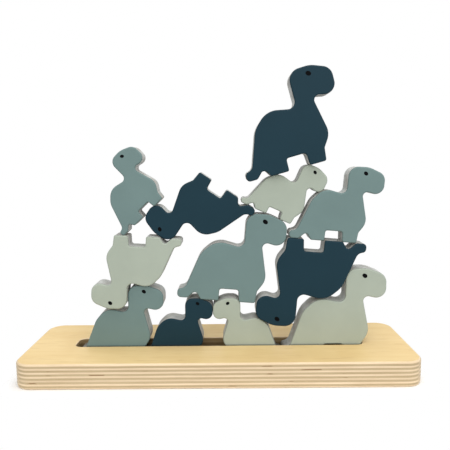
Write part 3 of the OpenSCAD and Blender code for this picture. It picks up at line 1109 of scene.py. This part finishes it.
@dataclass
class Herd:
    """All the dinosaurs, in the order that they are stacked."""

    shop: Workshop
    dark: Colour = srgb(25, 52, 63)
    blue: Colour = srgb(113, 135, 133)
    sage: Colour = srgb(170, 179, 165)

    def members(self) -> list[Dinosaur]:
        """Lists the dinosaurs.

        Returns:
            The four in the slot, then the eight that lie on them.
        """
        return [
            Dinosaur("blue_medium_in_slot", Size.MEDIUM, Paint.BLUE),
            Dinosaur("dark_small_in_slot", Size.SMALL, Paint.DARK),
            Dinosaur("sage_small_in_slot", Size.SMALL, Paint.SAGE, Facing.LEFT),
            Dinosaur("sage_large_in_slot", Size.LARGE, Paint.SAGE),
            Dinosaur("sage_medium_head_down", Size.MEDIUM, Paint.SAGE),
            Dinosaur("dark_large_head_down", Size.LARGE, Paint.DARK),
            Dinosaur("blue_large_upright", Size.LARGE, Paint.BLUE),
            Dinosaur("dark_medium_head_down", Size.MEDIUM, Paint.DARK),
            Dinosaur("blue_small_tail_down", Size.SMALL, Paint.BLUE),
            Dinosaur("blue_medium_upright", Size.MEDIUM, Paint.BLUE),
            Dinosaur("sage_small_on_head", Size.SMALL, Paint.SAGE),
            Dinosaur("dark_large_on_top", Size.LARGE, Paint.DARK),
        ]

    def build(self) -> list[bpy.types.Object]:
        """Builds every dinosaur in its paint.

        Returns:
            The new objects.
        """
        coats = {
            Paint.DARK: PaintFinish("dark_teal_paint", self.dark),
            Paint.BLUE: PaintFinish("blue_grey_paint", self.blue),
            Paint.SAGE: PaintFinish("sage_paint", self.sage),
        }
        finishes = {paint: coat.material(self.shop) for paint, coat in coats.items()}
        ink = EyeInk().material(self.shop)
        return [dinosaur.build(finishes[dinosaur.paint], ink) for dinosaur in self.members()]


@dataclass
class Board:
    """The slotted plywood board, whose solid keeps its shape."""

    shop: Workshop
    node: str = "board"

    def dress(self) -> bpy.types.Object:
        """Gives the board its plywood.

        Returns:
            The board's object.
        """
        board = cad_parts[self.node]
        board.data.materials.clear()
        board.data.materials.append(BirchPly().material(self.shop))
        return board


@dataclass(frozen=True)
class Lamp:
    """A soft square lamp that faces the middle of the stack, in metres and watts."""

    name: str
    place: Triple
    side: float
    power: float
    target: Triple = (0.0, 0.0, 0.09)

    def build(self) -> None:
        """Hangs the lamp."""
        data = bpy.data.lights.new(self.name, "AREA")
        data.size = self.side
        data.energy = self.power
        lamp = put_in_scene(self.name, data)
        lamp.location = self.place
        aim = Vector(self.target) - lamp.location
        lamp.rotation_euler = aim.to_track_quat("-Z", "Y").to_euler()


@dataclass
class Studio:
    """White sweep, soft lamps and the camera, in metres and degrees.

    The floor is solid as far from the middle as patch says, and fades out over the distances of fade.
    """

    eye: Triple = (0.0078, -0.36375, 0.1525)
    yaw: float = -0.36
    pitch: float = -7.23
    roll: float = -0.61
    lens: float = 40.07
    sensor: float = 36.0
    clip: Pair = (0.01, 20.0)
    room_front: float = 0.65
    room_back: float = 0.44
    floor_side: float = 3.0
    floor_tones: Pair = (0.93, 0.95)
    patch: Pair = (0.128, 0.030)
    fade: Pair = (0.010, 0.026)
    lamps: tuple[Lamp, ...] = (
        Lamp("key", (-0.2, -0.95, 0.8), 0.8, 4.2),
        Lamp("fill", (0.7, -0.85, 0.5), 0.8, 3.0),
        Lamp("top", (0.12, -0.07, 1.1), 0.9, 6.2),
    )

    def camera(self) -> None:
        """Sets up the camera."""
        data = bpy.data.cameras.new("camera")
        data.sensor_width = self.sensor
        data.lens = self.lens
        data.clip_start, data.clip_end = self.clip
        camera = put_in_scene("camera", data)
        turn = Matrix.Rotation(math.radians(-self.yaw), 4, "Z")
        lean = Matrix.Rotation(math.radians(90 + self.pitch), 4, "X")
        roll = Matrix.Rotation(math.radians(self.roll), 4, "Z")
        camera.matrix_world = Matrix.Translation(self.eye) @ turn @ lean @ roll
        bpy.context.scene.camera = camera

    def world(self) -> None:
        """Lights the room, mostly from the front.

        The camera, gloss and glass see it white.
        """
        world = bpy.data.worlds.new("studio")
        bpy.context.scene.world = world
        w = fresh(world)
        path = w.add("ShaderNodeLightPath")
        seen = w.math("MAXIMUM", path.outputs["Is Camera Ray"], path.outputs["Is Glossy Ray"])
        seen = w.math("MAXIMUM", seen, path.outputs["Is Transmission Ray"])
        _, depth, _ = w.axes(w.add("ShaderNodeTexCoord").outputs["Generated"])
        behind = w.rise(depth, -0.5, 0.6)
        room = w.minus(self.room_front, w.times(behind, self.room_front - self.room_back))
        background = w.add("ShaderNodeBackground")
        w.feed(background.inputs["Color"], grey(1.0))
        w.feed(background.inputs["Strength"], w.plus(room, w.times(seen, w.inverse(room))))
        w.end("ShaderNodeOutputWorld", background.outputs[0])

    def _sweep(self) -> bpy.types.Material:
        """Builds the floor's white, which is clear away from the board.

        Returns:
            The material.
        """
        material = bpy.data.materials.new("white_sweep")
        w = fresh(material)
        place = w.place()
        squares = []
        for along, reach in zip(w.axes(place), self.patch):
            beyond = w.math("MAXIMUM", w.minus(w.unsigned(along), reach), 0.0)
            squares.append(w.math("POWER", beyond, 2.0))
        away = w.rise(w.math("SQRT", w.plus(*squares)), *self.fade)
        dark, light = self.floor_tones
        diffuse = w.add("ShaderNodeBsdfDiffuse")
        w.feed(diffuse.inputs["Color"], w.mix(w.noise(place, 300.0), grey(dark), grey(light)))
        clear = w.add("ShaderNodeBsdfTransparent")
        blend = w.add("ShaderNodeMixShader")
        for socket, value in zip(blend.inputs, (away, diffuse.outputs[0], clear.outputs[0])):
            w.feed(socket, value)
        w.end("ShaderNodeOutputMaterial", blend.outputs[0])
        return material

    def floor(self) -> None:
        """Lays a white floor that fades into the background away from the board."""
        side = self.floor_side
        corners = [(-side, -side, 0.0), (side, -side, 0.0), (side, side, 0.0), (-side, side, 0.0)]
        mesh = bpy.data.meshes.new("floor")
        mesh.from_pydata(corners, [], [(0, 1, 2, 3)])
        mesh.materials.append(self._sweep())
        floor = put_in_scene("floor", mesh)

    def build(self) -> None:
        """Sets up the camera, the world, the lamps and the floor."""
        self.camera()
        self.world()
        for lamp in self.lamps:
            lamp.build()
        self.floor()


def main() -> None:
    """Builds the studio, the board and the dinosaurs."""
    logging.basicConfig(level=logging.INFO, format="%(name)s: %(message)s")
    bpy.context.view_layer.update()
    bpy.context.scene.view_settings.view_transform = "Standard"
    Studio().build()
    LOG.info("built the studio")
    shop = Workshop()
    for piece in [Board(shop).dress(), *Herd(shop).build()]:
        LOG.info("built %s", piece.name)
    bpy.context.view_layer.update()


if __name__ == "__main__":
    main()
